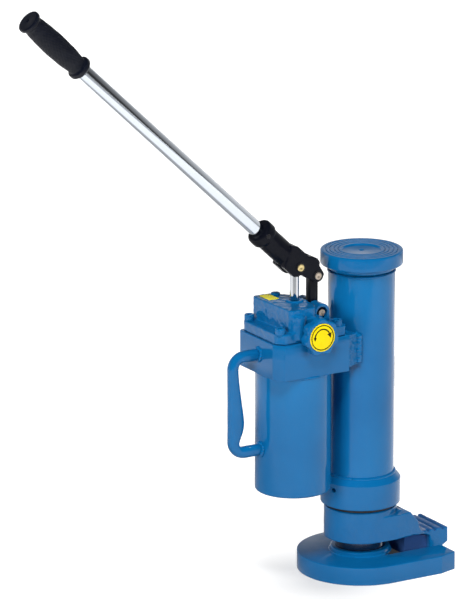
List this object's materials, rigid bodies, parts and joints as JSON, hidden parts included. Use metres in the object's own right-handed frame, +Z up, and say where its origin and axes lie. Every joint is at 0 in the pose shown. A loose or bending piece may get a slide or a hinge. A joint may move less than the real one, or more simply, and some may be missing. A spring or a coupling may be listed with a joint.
{
  "type": "hydraulic toe jack",
  "caption": "Hydraulic jack with a lifting head and a low toe on a moving cylinder, with a hand pump, oil tank, lever, release knob, carrying handle and forked foot.",
  "frame": {"origin": "axis of the column at the underside of the foot", "axes": "+Z up along the column, +X along the toe, the pump and tank on the -X side, the release knob facing -Y"},
  "size_m": [0.6185, 0.1668, 0.8075],
  "materials": {
    "blue_paint": "glossy enamel over steel and cast iron",
    "black_paint": "satin black",
    "chrome": "hard chrome, polished",
    "brass": "turned",
    "steel": "turned and bright",
    "dark_steel": "oiled black",
    "bronze": "turned bronze",
    "grip_rubber": "moulded, pebbled",
    "seal_rubber": "smooth",
    "gasket_sheet": "joint sheet",
    "label_yellow": "gloss",
    "label_white": "gloss"
  },
  "bodies": {
    "base": {"base_plate": "blue_paint", "ram": "chrome", "piston_head": "steel", "piston_guide_ring": "bronze", "piston_seal": "seal_rubber"},
    "toe": {"lifting_toe": "blue_paint"},
    "cylinder": {"cylinder_tube": "blue_paint", "head_plate": "blue_paint", "lower_collar": "blue_paint", "guide_bush": "bronze", "wiper_ring": "seal_rubber", "thrust_washer": "dark_steel", "toe_retaining_nut": "steel", "saddle_block": "blue_paint", "pump_housing": "blue_paint", "reservoir_tank": "blue_paint", "tank_seal": "seal_rubber", "suction_pipe": "steel", "suction_strainer": "steel", "valve_balls": "steel", "valve_springs": "steel", "gasket": "gasket_sheet", "pump_head": "blue_paint", "cap_screws": "blue_paint", "filler_plug": "blue_paint", "plunger_gland": "brass", "plunger_packing": "seal_rubber", "spindle_gland": "blue_paint", "release_ball": "steel", "link_pin_lower": "steel", "ear_circlips": "dark_steel", "carry_handle": "blue_paint", "head_label": "label_yellow", "column_label": "label_white"},
    "release_valve": {"valve_spindle": "steel", "release_knob": "blue_paint", "knob_label": "label_yellow"},
    "link": {"link_arm": "black_paint"},
    "lever": {"lever_socket": "black_paint", "plunger_pin": "brass", "link_pin_upper": "steel", "lever_circlips": "dark_steel", "cross_screw": "dark_steel", "lever_bar": "chrome", "hand_grip": "grip_rubber"},
    "plunger": {"plunger": "chrome"}
  },
  "joints": [
    {"name": "lift", "type": "slide", "parent": "base", "child": "toe", "axis": [0, 0, 1], "range_m": [-0.0135, 0.2165]},
    {"name": "pump_swivel", "type": "hinge", "parent": "toe", "child": "cylinder", "pos_m": [0, 0, 0.07], "axis": [0, 0, 1], "continuous": true},
    {"name": "release_turn", "type": "hinge", "parent": "cylinder", "child": "release_valve", "pos_m": [-0.101, -0.051, 0.345], "axis": [0, -1, 0], "range_deg": [0, 270]},
    {"name": "link_swing", "type": "hinge", "parent": "cylinder", "child": "link", "pos_m": [-0.076, 0, 0.365], "axis": [0, 1, 0], "range_deg": [-1.5, 5.5]},
    {"name": "lever_pump", "type": "hinge", "parent": "link", "child": "lever", "pos_m": [-0.076, 0, 0.4122], "axis": [0, -1, 0], "range_deg": [-8, 39]},
    {"name": "plunger_stroke", "type": "slide", "parent": "cylinder", "child": "plunger", "axis": [0, 0, -1], "range_m": [-0.0045, 0.0185]}
  ],
  "couplings": [
    {"joint": "link_swing", "follows": "lever_pump", "ratio": 0.13},
    {"joint": "plunger_stroke", "follows": "lever_pump", "m_per_rad": 0.026}
  ]
}
